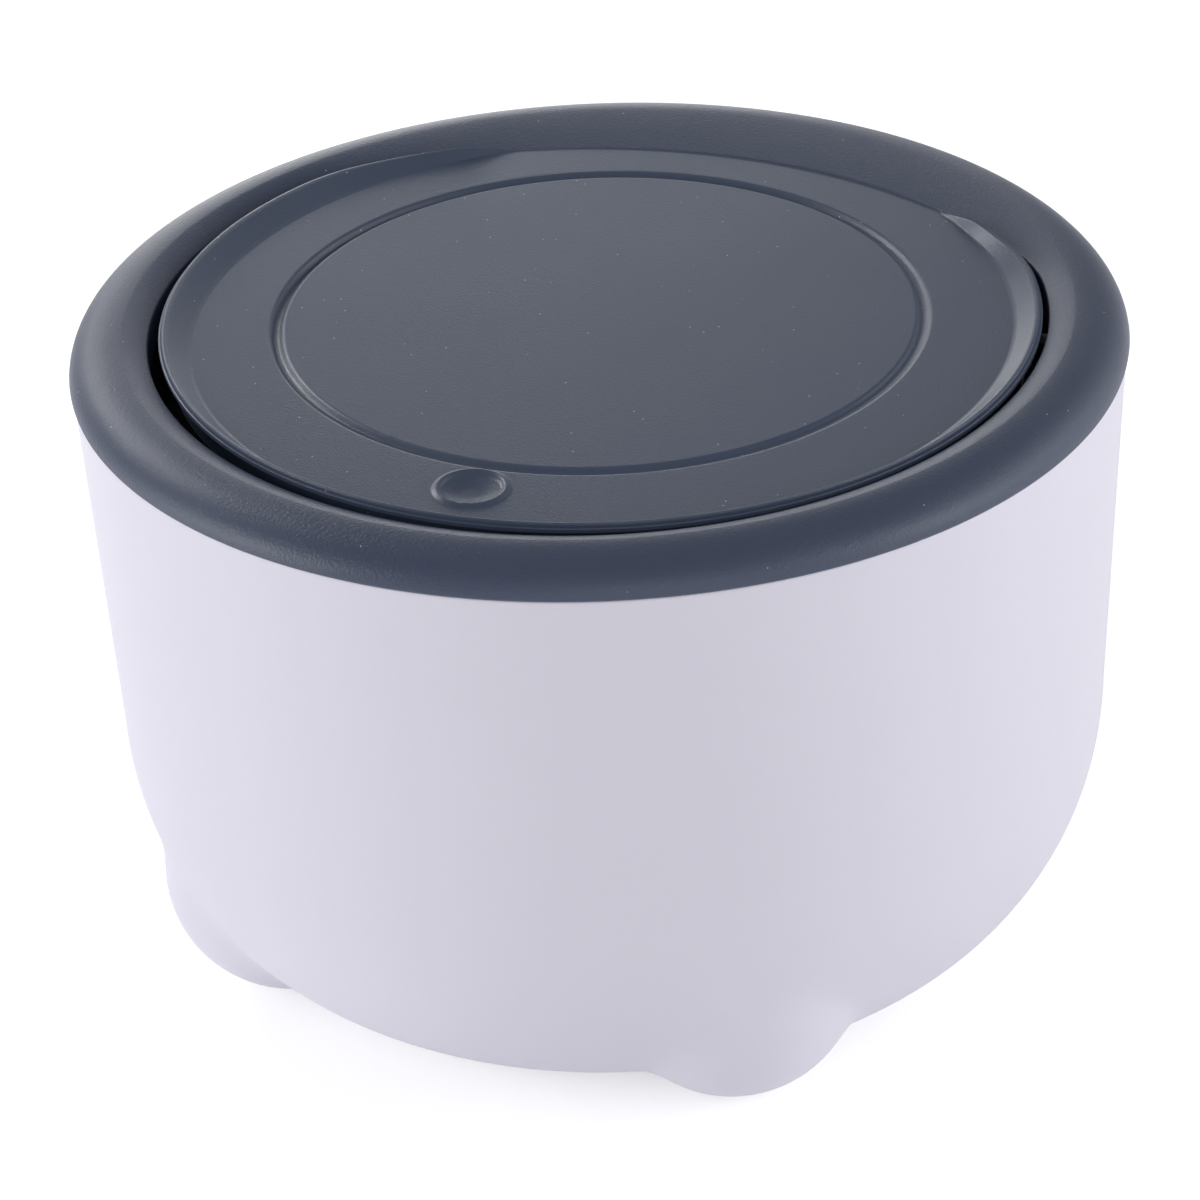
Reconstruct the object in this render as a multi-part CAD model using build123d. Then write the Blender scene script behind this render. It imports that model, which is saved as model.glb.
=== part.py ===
from build123d import *
import math
import os

# Push top countertop bin. Millimetres, +Z up. The origin is on the table under the middle of the
# bucket. The front, with the press spot, faces -Y. The flap turns about an axis along X.

# ---- bucket
lid_radius = 95.0            # outer edge of the lid ring, the widest part of the bin
bucket_height = 117.1        # bucket's rim above the table
bucket_setback = 0.5         # the bucket's rim lies this far inside the lid's edge
bucket_wall = 2.2
bucket_draft = 2.5           # degrees, the side leans in towards the base
bowl_depth = 47.0            # height of the rounded lower part
bowl_round = 38.0            # from the bucket's mouth in to the flat middle of the bowl
floor_lift = 1.8             # bowl floor above the table
foot_radius = 23.3           # each foot is part of a hollow ball
foot_pad_radius = 5.5        # flat that stands on the table
foot_proud = 3.6             # a foot stands this far out of the bowl, at its centre's height
foot_half_angle = 42.6       # degrees, each foot of a pair from the pair's middle
foot_turn = -6.1             # degrees, the round lid sits turned this much on the bucket
foot_blend = 4.0             # fillet where a foot runs into the bowl

# ---- lid ring, heights measured from the flap's floor
ring_edge_drop = 4.5         # ring's outer edge, which rests on the bucket's rim, below the flap floor
ring_crest_inset = 9.5       # crest of the ring inside its outer edge
ring_crest_height = 1.9
ring_slope_width = 4.9       # crest in to the inner edge around the flap
ring_inner_fall = 2.9        # crest down to where the inner edge turns straight down
ring_wall = 2.0
ring_skirt_drop = 6.0        # bottom of the inner skirt, which sits on the collar
back_centre = 20.7           # centre of the back lip's curve, in front of the bin's axis
back_lip_reach = 16.6        # crest in to the back lip's edge, at the very back
back_lip_drop = 0.9          # underside of the back lip
ring_boss_radius = 3.0
ring_boss_sink = 0.3         # a screw boss runs this far into the ring's wall

# ---- collar under the ring
collar_web = 2.0             # thickness of the flat web
collar_depth = 16.0          # both skirts, from the top of the web down
collar_wall = 2.0
collar_fit_gap = 0.4         # skirt to the inside of the bucket
throat_setback = 0.8         # collar's throat behind the ring's inner edge
collar_screw_offset = 4.9    # screws outside the collar's throat
collar_screw_count = 6
first_screw_angle = 30.0     # degrees from +X

# ---- flap
flap_gap = 1.7               # around the flap, seen from above
flap_back_gap = 0.8          # flap to the back lip's edge
flap_slope_width = 6.2       # floor's edge out to the flap's edge
flap_plate = 2.0
flap_rim_rise = 2.7
flap_rim_land = 0.7          # flat top of the rim
flap_skirt_drop = 5.0
flap_skirt_wall = 1.6
flap_shelf_setback = 1.9     # shelf under the back lip, inside the flap's edge
flap_shelf_gap = 0.4         # shelf to the back lip's underside at full press
groove_inset = 14.7          # groove inside the floor's edge
groove_width = 2.5
groove_depth = 0.8
press_inset = 6.4            # press spot's centre inside the floor's edge
press_bead_radius = 5.9
press_bead_half = 0.9
press_bead_rise = 0.5
press_dish_radius = 5.2
press_dish_depth = 1.1
rib_circle_radius = 38.0
rib_width = 1.5
rib_height = 3.0
rib_inset = 15.7             # ends of the straight ribs inside the floor's edge

# ---- hinge
hinge_back = 16.0            # hinge axis behind the bin's axis
hinge_drop = 3.6             # hinge axis below the flap floor
hinge_pin_radius = 1.5
hinge_running_gap = 0.05
hinge_boss_radius = 3.0
collar_boss_reach = 1.8      # collar's boss inside its throat, along the axis
collar_boss_length = 6.4
flap_boss_length = 7.8
hinge_pin_setback = 0.8      # inner end of a pin inside the flap's boss
hinge_head_radius = 2.4
hinge_head_length = 1.0
hinge_notch_gap = 0.4

# ---- hinge springs
hinge_wire = 0.7
hinge_coil_radius = 2.0      # to the middle of the wire
hinge_coil_pitch = 0.95
hinge_coil_turns = 4
hinge_coil_clear = 4.3       # collar's boss to where the fixed leg joins the coil
hinge_coil_gap = 0.941        # coil's last turn to the flap's boss
fixed_leg_angle = 205.0      # degrees in the side view, from the back towards the top
fixed_leg_length = 9.0
flap_leg_angle = 180.0       # forward, under the flap
flap_leg_length = 13.0
leg_groove_gap = 0.45
spring_peg_radius = 1.2
spring_peg_reach = 7.0       # along the fixed leg
spring_peg_past = 0.5        # peg reaches this far past the fixed leg

# ---- touch latch under the press spot
latch_cavity_half_x = 5.1
latch_cavity_half_y = 4.0
latch_wall = 1.9
latch_top_drop = 9.5         # top of the shelf and of the housing
latch_height = 24.5
shelf_thickness = 2.5
shelf_half_width = 23.0
shelf_rear_margin = 3.0
shelf_hole_gap = 0.3
flange_half_width = 15.0
flange_thickness = 2.2
latch_screw_x = 11.3
latch_boss_radius = 2.4
latch_boss_height = 1.1
plunger_gap = 0.3            # plunger to the housing's walls
plunger_seat_drop = 11.3     # where the striker's head bears on the plunger
plunger_body = 12.7
jaw_top_drop = 6.6
jaw_wall = 1.7
jaw_lip = 0.5
cam_recess_half = 2.2
cam_recess_depth = 1.3
cam_recess_height = 7.5
cam_wire = 0.8
cam_wire_setback = 0.6       # wire's middle inside the cavity's front wall
cam_low_height = 5.0         # lower bend above the housing's bottom
cam_rise = 9.5
cam_tip = 0.9
cam_hole_depth = 1.2
cap_plate = 1.6
cap_plug = 1.5
cap_spigot_radius = 1.7
cap_spigot_height = 2.5
latch_wire = 0.6
latch_coil_radius = 2.4
latch_coil_turns = 6
contact_gap = 0.1            # spring ends to their seats

# ---- striker on the flap
striker_half_x = 9.0
striker_half_y = 3.7
striker_boss = 2.0           # flap's raised pad that the striker is screwed to
striker_base = 1.6
striker_stem_half_x = 1.5
striker_stem = 3.0
striker_head_half_x = 2.2
striker_half_depth = 2.0
striker_head = 2.4
striker_screw_x = 6.6

# ---- screws and buffers
screw_gap = 0.05             # around a screw's shank
collar_screw = (1.3, 6.4, 2.5, 1.6)      # shank radius, length, head radius, head height
latch_screw = (1.0, 5.0, 1.9, 1.2)
striker_screw = (0.8, 4.0, 1.4, 1.0)
screw_slot_share = 0.35      # width of the cross slot, of the head's radius
screw_slot_depth = 0.5       # of the head's height
press_travel = 2.0           # at the press spot, until the flap meets its buffers
buffer_radius = 3.0
buffer_x = 18.5
buffer_gap = 0.3
buffer_dome = 0.8

# ---- worked out from the sizes above
flap_height = bucket_height + ring_edge_drop
crest_radius = lid_radius - ring_crest_inset
ring_throat_radius = crest_radius - ring_slope_width
back_radius = crest_radius + back_centre - back_lip_reach
flap_radius = ring_throat_radius - flap_gap
flap_floor_radius = flap_radius - flap_slope_width
flap_shelf_radius = flap_radius - flap_shelf_setback
flap_back_radius = back_radius - flap_back_gap
throat_radius = ring_throat_radius + throat_setback
screw_circle_radius = throat_radius + collar_screw_offset
mouth_radius = lid_radius - bucket_setback
bowl_floor_radius = mouth_radius - bowl_round
bowl_top = floor_lift + bowl_depth
foot_centre_height = math.sqrt(foot_radius**2 - foot_pad_radius**2)
groove_radius = flap_floor_radius - groove_inset
rib_end_radius = flap_floor_radius - rib_inset
press_y = press_inset - flap_floor_radius
press_slope = press_travel / (hinge_back - press_y)
back_rise = press_slope * (flap_shelf_radius - hinge_back)
flap_shelf_drop = back_lip_drop + back_rise + flap_shelf_gap
collar_boss_inner = throat_radius - collar_boss_reach
collar_boss_outer = collar_boss_inner + collar_boss_length
hinge_turns = hinge_coil_turns + (flap_leg_angle - fixed_leg_angle + 180) / 360
hinge_coil_outer = collar_boss_inner - hinge_coil_clear
hinge_coil_end = hinge_coil_outer - hinge_coil_pitch * hinge_turns
flap_boss_outer = hinge_coil_end - hinge_wire / 2 - hinge_coil_gap
flap_boss_inner = flap_boss_outer - flap_boss_length
hinge_pin_inner = flap_boss_inner + hinge_pin_setback
spring_peg_inner = hinge_coil_outer - spring_peg_past
latch_bottom = -latch_top_drop - latch_height
shelf_under = -latch_top_drop - shelf_thickness
plunger_bottom = -plunger_seat_drop - plunger_body
well = 200.0                 # larger than the whole bin, for cutting tools

LID = Pos(0, 0, flap_height)
SIDE_VIEW = Plane.XZ


def turned(outline):
    """Solid of revolution about Z from an outline drawn with X outwards and Y up."""
    return revolve(SIDE_VIEW * make_face(outline), Axis.Z)


def quarter(centre, across, up, start):
    """Quarter of an ellipse, from a start angle in degrees."""
    return EllipticalCenterArc(centre, across, up, start_angle=start, arc_size=90)


def block(x0, x1, y0, y1, z0, z1):
    """Box between two corners."""
    return Pos((x0 + x1) / 2, (y0 + y1) / 2, (z0 + z1) / 2) * Box(x1 - x0, y1 - y0, z1 - z0)


def upright(radius, z0, z1, x=0.0, y=0.0):
    """Cylinder standing along Z between two heights."""
    return Pos(x, y, (z0 + z1) / 2) * Cylinder(radius, z1 - z0)


def hinge_rod(radius, x0, x1):
    """Cylinder along the hinge axis, in the lid's heights."""
    place = Pos((x0 + x1) / 2, hinge_back, -hinge_drop) * Rot(Y=90)
    return place * Cylinder(radius, x1 - x0)


def both_sides(piece):
    """The piece and its mirror image on the other side of the bin."""
    return piece + mirror(piece, Plane.YZ)


def bucket_radius(height):
    """Outside radius of the bucket's straight side at a height above the table."""
    return mouth_radius - math.tan(math.radians(bucket_draft)) * (bucket_height - height)


def bowl_radius(height):
    """Outside radius of the rounded bowl at a height above the table."""
    up = (bowl_top - height) / bowl_depth
    return bowl_floor_radius + (bucket_radius(bowl_top) - bowl_floor_radius) * math.sqrt(1 - up**2)


def bucket_form(inset):
    """Bowl and straight side, moved in from the outside by the inset."""
    side_low = bucket_radius(bowl_top) - inset
    side_high = mouth_radius - inset
    flat = bowl_floor_radius - inset / 2
    low = floor_lift + inset
    top = bucket_height + (inset if inset else 0.0)
    lean = math.tan(math.radians(bucket_draft)) * (top - bucket_height)
    curve = quarter((flat, bowl_top), side_low - flat, bowl_top - low, 270)
    sides = Polyline(
        (side_low, bowl_top), (side_high + lean, top), (0, top), (0, low), (flat, low)
    )
    return turned(curve + sides)


def feet(inset):
    """Four balls cut off flat, moved in from the outside by the inset."""
    centre = bowl_radius(foot_centre_height) + foot_proud - foot_radius
    ball = Pos(centre, 0, foot_centre_height) * Sphere(foot_radius - inset)
    ball &= block(0, well, -well, well, inset, bowl_top)
    angles = [
        middle + side * foot_half_angle + foot_turn for middle in (-90, 90) for side in (-1, 1)
    ]
    return [Rot(Z=angle) * ball for angle in angles]


def joined(body, extras):
    """Body with every extra fused to it."""
    for extra in extras:
        body += extra
    return body


def bucket():
    """Round bucket with a bowl base on four hollow feet, moulded as one shell."""
    outside = joined(bucket_form(0.0), feet(0.0))
    seams = [
        edge
        for edge in outside.edges()
        if edge.length > 2 * foot_radius and floor_lift + 1 < edge.center().Z < bowl_top - 1
        and edge.geom_type not in (GeomType.CIRCLE, GeomType.LINE)
    ]
    outside = fillet(seams, foot_blend)
    inside = joined(bucket_form(bucket_wall), feet(bucket_wall))
    return outside - inside


def ring_outline():
    """Section of the ring: a low dome with an inner skirt."""
    drop = -ring_edge_drop
    turn = ring_crest_height - ring_inner_fall
    span = crest_radius - ring_throat_radius
    rise = ring_crest_height + ring_edge_drop
    centre_out = (crest_radius, drop)
    centre_in = (crest_radius, turn)
    top = quarter(centre_out, ring_crest_inset, rise, 0)
    top += quarter(centre_in, span, ring_inner_fall, 90)
    under = quarter(centre_in, span - ring_wall, ring_inner_fall - ring_wall, 90)
    under += quarter(centre_out, ring_crest_inset - ring_wall, rise - ring_wall, 0)
    skirt = Polyline(
        (ring_throat_radius, turn),
        (ring_throat_radius, -ring_skirt_drop),
        (ring_throat_radius + ring_wall, -ring_skirt_drop),
        (ring_throat_radius + ring_wall, turn),
    )
    land = Line((lid_radius - ring_wall, drop), (lid_radius, drop))
    return top + skirt + under + land


def back_lip():
    """Lip that comes down from the ring's crest over the back of the flap."""
    width = crest_radius + back_centre - back_radius
    curve = quarter((back_radius + width, 0), width, ring_crest_height, 90)
    sides = Polyline(
        (back_radius, 0),
        (back_radius, -back_lip_drop),
        (back_radius + width, -back_lip_drop),
        (back_radius + width, ring_crest_height),
    )
    lip = Pos(0, -back_centre, 0) * turned(curve + sides)
    return lip & upright(crest_radius, -back_lip_drop, ring_crest_height)


def screw_places():
    """Where the collar's screws stand around the ring."""
    step = 360 / collar_screw_count
    angles = [first_screw_angle + step * i for i in range(collar_screw_count)]
    return [Rot(Z=angle) * Pos(screw_circle_radius, 0, 0) for angle in angles]


def lid_ring():
    """Dark ring over the bucket's rim, with screw bosses inside."""
    ring = turned(ring_outline()) + back_lip()
    boss_top = ring_crest_height - ring_wall + ring_boss_sink
    boss = upright(ring_boss_radius, -ring_skirt_drop, boss_top)
    hole_top = collar_screw[1] - collar_web - ring_skirt_drop + screw_gap
    hole = upright(collar_screw[0] + screw_gap, -ring_skirt_drop, hole_top)
    for place in screw_places():
        ring += place * boss
        ring -= place * hole
    reach = hinge_boss_radius + hinge_notch_gap
    notch = hinge_rod(reach, collar_boss_inner - throat_setback - flap_gap, collar_boss_outer)
    notch += block(
        collar_boss_inner - throat_setback - flap_gap,
        collar_boss_outer,
        hinge_back - reach,
        hinge_back + reach,
        -ring_skirt_drop,
        -hinge_drop,
    )
    return LID * (ring - both_sides(notch))


def collar_outline():
    """Section of the collar: a web with a plug skirt outside and a throat wall inside."""
    top = -ring_skirt_drop
    low = top - collar_depth
    inner_face = [bucket_radius(flap_height + z) - bucket_wall - collar_fit_gap for z in (top, low)]
    lean = inner_face[1] - collar_wall
    return Polyline(
        (throat_radius, top),
        (inner_face[0], top),
        (inner_face[1], low),
        (lean, low),
        (lean, top - collar_web),
        (throat_radius + collar_wall, top - collar_web),
        (throat_radius + collar_wall, low),
        (throat_radius, low),
        (throat_radius, top),
    )


def spring_peg_place():
    """Side-view place of the peg behind a hinge spring's fixed leg."""
    start = math.radians(fixed_leg_angle + 90)
    along = math.radians(fixed_leg_angle)
    off = hinge_wire / 2 + spring_peg_radius + contact_gap
    y = hinge_coil_radius * math.cos(start) + spring_peg_reach * math.cos(along)
    z = hinge_coil_radius * math.sin(start) + spring_peg_reach * math.sin(along)
    return hinge_back + y + off * math.cos(start), -hinge_drop + z + off * math.sin(start)


def lid_collar():
    """Collar that plugs into the bucket and carries the hinge, the springs and the latch."""
    collar = turned(collar_outline())
    boss = hinge_rod(hinge_boss_radius, collar_boss_inner, collar_boss_outer)
    boss += block(
        collar_boss_inner,
        collar_boss_outer,
        hinge_back - hinge_boss_radius,
        hinge_back + hinge_boss_radius,
        -ring_skirt_drop - collar_web,
        -hinge_drop,
    )
    peg_y, peg_z = spring_peg_place()
    peg_length = throat_radius - spring_peg_inner
    peg = Pos(spring_peg_inner + peg_length / 2, peg_y, peg_z) * Rot(Y=90)
    peg *= Cylinder(spring_peg_radius, peg_length)
    collar += both_sides(boss + peg)
    collar -= both_sides(
        hinge_rod(hinge_pin_radius + hinge_running_gap, spring_peg_inner, lid_radius)
    )
    rear = press_y + latch_cavity_half_y + latch_wall + shelf_hole_gap + shelf_rear_margin
    shelf = block(-shelf_half_width, shelf_half_width, -well, rear, shelf_under, -latch_top_drop)
    shelf &= upright(throat_radius + collar_wall / 2, shelf_under, -latch_top_drop)
    collar += shelf
    hole_x = latch_cavity_half_x + latch_wall + shelf_hole_gap
    hole_y = latch_cavity_half_y + latch_wall + shelf_hole_gap
    collar -= block(
        -hole_x, hole_x, press_y - hole_y, press_y + hole_y, shelf_under, -latch_top_drop
    )
    boss_top = latch_boss_height - latch_top_drop
    latch_post = upright(latch_boss_radius, -latch_top_drop, boss_top, latch_screw_x, press_y)
    collar += both_sides(latch_post)
    hole_top = shelf_under - flange_thickness + latch_screw[1] + screw_gap
    latch_hole = upright(latch_screw[0] + screw_gap, shelf_under, hole_top, latch_screw_x, press_y)
    collar -= both_sides(latch_hole)
    web_hole = upright(
        collar_screw[0] + screw_gap, -ring_skirt_drop - collar_web, -ring_skirt_drop
    )
    for place in screw_places():
        collar -= place * web_hole
    return LID * collar


def screw(size):
    """Pan head screw pointing up, with the underside of its head at height 0."""
    shank_radius, length, head_radius, head_height = size
    head = upright(head_radius, -head_height, 0)
    head = fillet(head.edges().group_by(Axis.Z)[0], head_height / 2)
    slot = head_radius * screw_slot_share
    low = -head_height
    high = low + head_height * screw_slot_depth
    arm = head_radius * (1 - screw_slot_share)
    cross = block(-arm, arm, -slot / 2, slot / 2, low, high)
    cross += block(-slot / 2, slot / 2, -arm, arm, low, high)
    shank = upright(shank_radius, 0, length)
    point = shank.edges().group_by(Axis.Z)[-1]
    return head - cross + chamfer(point, shank_radius / 2)


def collar_screws():
    """Screws from under the collar's web up into the ring's bosses."""
    seat = Pos(0, 0, -ring_skirt_drop - collar_web)
    return LID * Compound(children=[place * seat * screw(collar_screw) for place in screw_places()])


def flap_tray():
    """Floor, sloped wall, rim and skirt of the flap, still fully round."""
    inner = flap_radius - flap_skirt_wall
    under_rim = flap_rim_rise - flap_plate
    slope_top = flap_radius - flap_rim_land
    outline = Polyline(
        (0, 0),
        (flap_floor_radius, 0),
        (slope_top, flap_rim_rise),
        (flap_radius, flap_rim_rise),
        (flap_radius, -flap_skirt_drop),
        (inner, -flap_skirt_drop),
        (inner, under_rim * (inner - flap_floor_radius) / (slope_top - flap_floor_radius)),
        (flap_floor_radius, -flap_plate),
        (0, -flap_plate),
        (0, 0),
    )
    return turned(outline)


def flap_back():
    """Step down behind the flap's edge and the shelf that runs on under the back lip."""
    low = -flap_shelf_drop - flap_plate
    core = turned(
        Polyline(
            (0, 0),
            (flap_floor_radius, 0),
            (flap_radius - flap_rim_land, flap_rim_rise),
            (flap_radius, flap_rim_rise),
            (flap_radius, low),
            (0, low),
            (0, 0),
        )
    )
    behind = block(-well, well, hinge_back + hinge_boss_radius, well, -well, well)
    inner = upright(flap_back_radius - flap_plate, -well, well, 0, -back_centre)
    step = core & upright(flap_back_radius, -well, well, 0, -back_centre)
    step = (step - inner) & behind
    shelf = upright(flap_shelf_radius, low, -flap_shelf_drop) - inner
    return step, shelf & behind


def flap_ribs():
    """Round rib and four straight ribs under the floor."""
    low = -flap_plate - rib_height
    ribs = upright(rib_circle_radius + rib_width, low, -flap_plate)
    ribs -= upright(rib_circle_radius, low, -flap_plate)
    arm = block(rib_circle_radius, rib_end_radius, -rib_width / 2, rib_width / 2, low, -flap_plate)
    return joined(ribs, [Rot(Z=angle) * arm for angle in range(0, 360, 90)])


def ball_cut(radius, depth):
    """Ball that cuts a round hollow of this radius and depth into a floor at height 0."""
    ball_radius = (radius**2 + depth**2) / (2 * depth)
    return Pos(0, 0, ball_radius - depth) * Sphere(ball_radius)


def flap_plate_piece():
    """The push-top flap: a shallow tray with a groove, a press spot and hinge bosses."""
    step, shelf = flap_back()
    flap = flap_tray() & upright(flap_back_radius, -well, well, 0, -back_centre)
    flap = flap + step + shelf + flap_ribs()
    groove_arc = ((groove_width / 2) ** 2 + groove_depth**2) / (2 * groove_depth)
    flap -= Pos(0, 0, groove_arc - groove_depth) * Torus(groove_radius, groove_arc)
    bead = Pos(0, press_y, press_bead_rise - press_bead_half)
    flap += bead * Torus(press_bead_radius, press_bead_half)
    flap -= Pos(0, press_y, 0) * ball_cut(press_dish_radius, press_dish_depth)
    pad_low = -flap_plate - striker_boss
    flap += block(
        -striker_half_x,
        striker_half_x,
        press_y - striker_half_y,
        press_y + striker_half_y,
        pad_low,
        -flap_plate,
    )
    hole_top = pad_low - striker_base + striker_screw[1] + screw_gap
    hole = upright(striker_screw[0] + screw_gap, pad_low, hole_top, striker_screw_x, press_y)
    flap -= both_sides(hole)
    boss = hinge_rod(hinge_boss_radius, flap_boss_inner, flap_boss_outer)
    boss += block(
        flap_boss_inner,
        flap_boss_outer,
        hinge_back - hinge_boss_radius,
        hinge_back + hinge_boss_radius,
        -hinge_drop,
        -flap_plate / 2,
    )
    flap += both_sides(boss)
    flap -= both_sides(spring_room())
    flap -= both_sides(
        hinge_rod(hinge_pin_radius + hinge_running_gap, flap_boss_inner, flap_boss_outer)
    )
    return LID * flap


def spring_room():
    """Pocket for a hinge spring's coil and groove for its flap leg, on the right side."""
    pocket = hinge_rod(hinge_boss_radius, flap_boss_outer + contact_gap, lid_radius)
    slope = hinge_coil_pitch / (2 * math.pi * hinge_coil_radius)
    gap = hinge_wire / 2 + leg_groove_gap
    top = hinge_coil_radius + gap - hinge_drop
    leg = block(
        hinge_coil_end - flap_leg_length * slope - gap,
        hinge_coil_end + gap,
        hinge_back - flap_leg_length - gap,
        hinge_back,
        -hinge_drop,
        top,
    )
    return pocket + leg


def hinge_pin():
    """Headed steel pin of the right-hand hinge."""
    pin = hinge_rod(hinge_pin_radius, hinge_pin_inner, collar_boss_outer)
    head_end = collar_boss_outer + hinge_head_length
    return LID * (pin + hinge_rod(hinge_head_radius, collar_boss_outer, head_end))


def torsion_spring():
    """Hinge spring on the left side: fixed leg, coil and flap leg as one wire."""
    coil = Helix(hinge_coil_pitch, hinge_coil_pitch * hinge_turns, hinge_coil_radius)
    coil = Rot(Z=fixed_leg_angle + 90) * coil
    start, end = coil @ 0, coil @ 1
    fixed_leg = Line(start - (coil % 0) * fixed_leg_length, start)
    flap_leg = Line(end, end + (coil % 1) * flap_leg_length)
    path = Wire([fixed_leg.edge(), coil.edge(), flap_leg.edge()])
    section = Plane(origin=path @ 0, z_dir=path % 0) * Circle(hinge_wire / 2)
    wire = sweep(section, path)
    place = Plane(origin=(-hinge_coil_outer, hinge_back, -hinge_drop), x_dir=(0, 1, 0), z_dir=(1, 0, 0))
    return LID * (place * wire)


def at_latch(piece):
    """Move a piece drawn about the latch's own axis under the press spot."""
    return LID * Pos(0, press_y, 0) * piece


def latch_housing():
    """Open box that guides the plunger, with a flange under the collar's shelf."""
    half_x = latch_cavity_half_x + latch_wall
    half_y = latch_cavity_half_y + latch_wall
    body = block(-half_x, half_x, -half_y, half_y, latch_bottom, -latch_top_drop)
    body += block(
        -flange_half_width,
        flange_half_width,
        -half_y,
        half_y,
        shelf_under - flange_thickness,
        shelf_under,
    )
    body -= block(
        -latch_cavity_half_x,
        latch_cavity_half_x,
        -latch_cavity_half_y,
        latch_cavity_half_y,
        latch_bottom,
        -latch_top_drop,
    )
    hole = upright(
        latch_screw[0] + screw_gap, shelf_under - flange_thickness, shelf_under, latch_screw_x
    )
    body -= both_sides(hole)
    pivot = Pos(0, -latch_cavity_half_y, latch_bottom + cam_low_height) * Rot(X=90)
    body -= pivot * Cylinder(cam_wire / 2 + screw_gap, 2 * cam_hole_depth)
    return at_latch(body)


def latch_base_cap():
    """Cap that closes the housing and carries the latch spring."""
    half_x = latch_cavity_half_x + latch_wall
    half_y = latch_cavity_half_y + latch_wall
    cap = block(-half_x, half_x, -half_y, half_y, latch_bottom - cap_plate, latch_bottom)
    plug_x = latch_cavity_half_x - screw_gap
    plug_y = latch_cavity_half_y - screw_gap
    plug_top = latch_bottom + cap_plug
    cap += block(-plug_x, plug_x, -plug_y, plug_y, latch_bottom, plug_top)
    cap += upright(cap_spigot_radius, plug_top, plug_top + cap_spigot_height)
    return at_latch(cap)


def latch_plunger():
    """Slider with two jaws, shown spread as they are when the striker is free to leave."""
    half_x = latch_cavity_half_x - plunger_gap
    half_y = latch_cavity_half_y - plunger_gap
    body = block(-half_x, half_x, -half_y, half_y, plunger_bottom, -plunger_seat_drop)
    inner = half_x - jaw_wall
    jaw = block(inner, half_x, -half_y, half_y, -plunger_seat_drop, -jaw_top_drop)
    lip = block(
        inner - jaw_lip, inner, -half_y, half_y, -jaw_top_drop - 2 * jaw_lip, -jaw_top_drop
    )
    body += both_sides(jaw + lip)
    body -= block(
        -cam_recess_half,
        cam_recess_half,
        -half_y,
        cam_recess_depth - half_y,
        plunger_bottom,
        plunger_bottom + cam_recess_height,
    )
    return at_latch(body)


def latch_cam_pin():
    """Bent wire that holds the plunger down until the next press."""
    wall_y = -latch_cavity_half_y
    wire_y = wall_y + cam_wire_setback
    low = latch_bottom + cam_low_height
    high = low + cam_rise
    path = FilletPolyline(
        (0, wall_y - cam_hole_depth / 2, low),
        (0, wire_y, low),
        (0, wire_y, high),
        (0, wire_y + cam_tip, high),
        radius=cam_wire / 2,
    )
    section = Plane(origin=path @ 0, z_dir=path % 0) * Circle(cam_wire / 2)
    return at_latch(sweep(section, path))


def latch_spring():
    """Compression spring between the cap and the plunger."""
    low = latch_bottom + cap_plug + latch_wire / 2 + contact_gap
    high = plunger_bottom - latch_wire / 2 - contact_gap
    coil = Pos(0, 0, low) * Helix((high - low) / latch_coil_turns, high - low, latch_coil_radius)
    section = Plane(origin=coil @ 0, z_dir=coil % 0) * Circle(latch_wire / 2)
    return at_latch(sweep(section, coil, is_frenet=True))


def latch_screws():
    """Two screws from under the housing's flange up into the collar's shelf."""
    seat = Pos(latch_screw_x, 0, shelf_under - flange_thickness)
    right = seat * screw(latch_screw)
    return at_latch(Compound(children=[right, mirror(right, Plane.YZ)]))


def striker():
    """Arrow-shaped catch under the flap that the jaws hold."""
    top = -flap_plate - striker_boss
    low = top - striker_base
    neck = low - striker_stem
    depth = striker_half_depth
    piece = block(-striker_half_x, striker_half_x, -striker_half_y, striker_half_y, low, top)
    piece += block(-striker_stem_half_x, striker_stem_half_x, -depth, depth, neck, low)
    head = block(-striker_head_half_x, striker_head_half_x, -depth, depth, neck - striker_head, neck)
    head = chamfer(head.edges().filter_by(Axis.Y).group_by(Axis.Z)[0], striker_head_half_x / 3)
    piece += head
    hole = upright(striker_screw[0] + screw_gap, low, top, striker_screw_x)
    return at_latch(piece - both_sides(hole))


def striker_screws():
    """Two screws that hold the striker to the flap."""
    seat = Pos(striker_screw_x, 0, -flap_plate - striker_boss - striker_base)
    right = seat * screw(striker_screw)
    return at_latch(Compound(children=[right, mirror(right, Plane.YZ)]))


def flap_buffers():
    """Two soft stops on the collar's shelf that end the press."""
    top = -flap_plate - press_travel - buffer_gap
    pad = upright(buffer_radius, -latch_top_drop, top, buffer_x)
    pad = fillet(pad.edges().group_by(Axis.Z)[-1], buffer_dome)
    return at_latch(Compound(children=[pad, mirror(pad, Plane.YZ)]))


NODES = {
    "bucket": bucket,
    "lid_ring": lid_ring,
    "lid_collar": lid_collar,
    "collar_screws": collar_screws,
    "flap_plate": flap_plate_piece,
    "hinge_pin_right": hinge_pin,
    "hinge_pin_left": lambda: mirror(hinge_pin(), Plane.YZ),
    "torsion_spring_left": torsion_spring,
    "torsion_spring_right": lambda: mirror(torsion_spring(), Plane.YZ),
    "latch_housing": latch_housing,
    "latch_base_cap": latch_base_cap,
    "latch_plunger": latch_plunger,
    "latch_cam_pin": latch_cam_pin,
    "latch_spring": latch_spring,
    "latch_screws": latch_screws,
    "striker": striker,
    "striker_screws": striker_screws,
    "flap_buffers": flap_buffers,
}

os.makedirs("parts", exist_ok=True)
for node, make in NODES.items():
    export_step(make(), f"parts/{node}.step")
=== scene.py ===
import bmesh
import bpy
import math
from mathutils import Matrix, Vector


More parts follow.
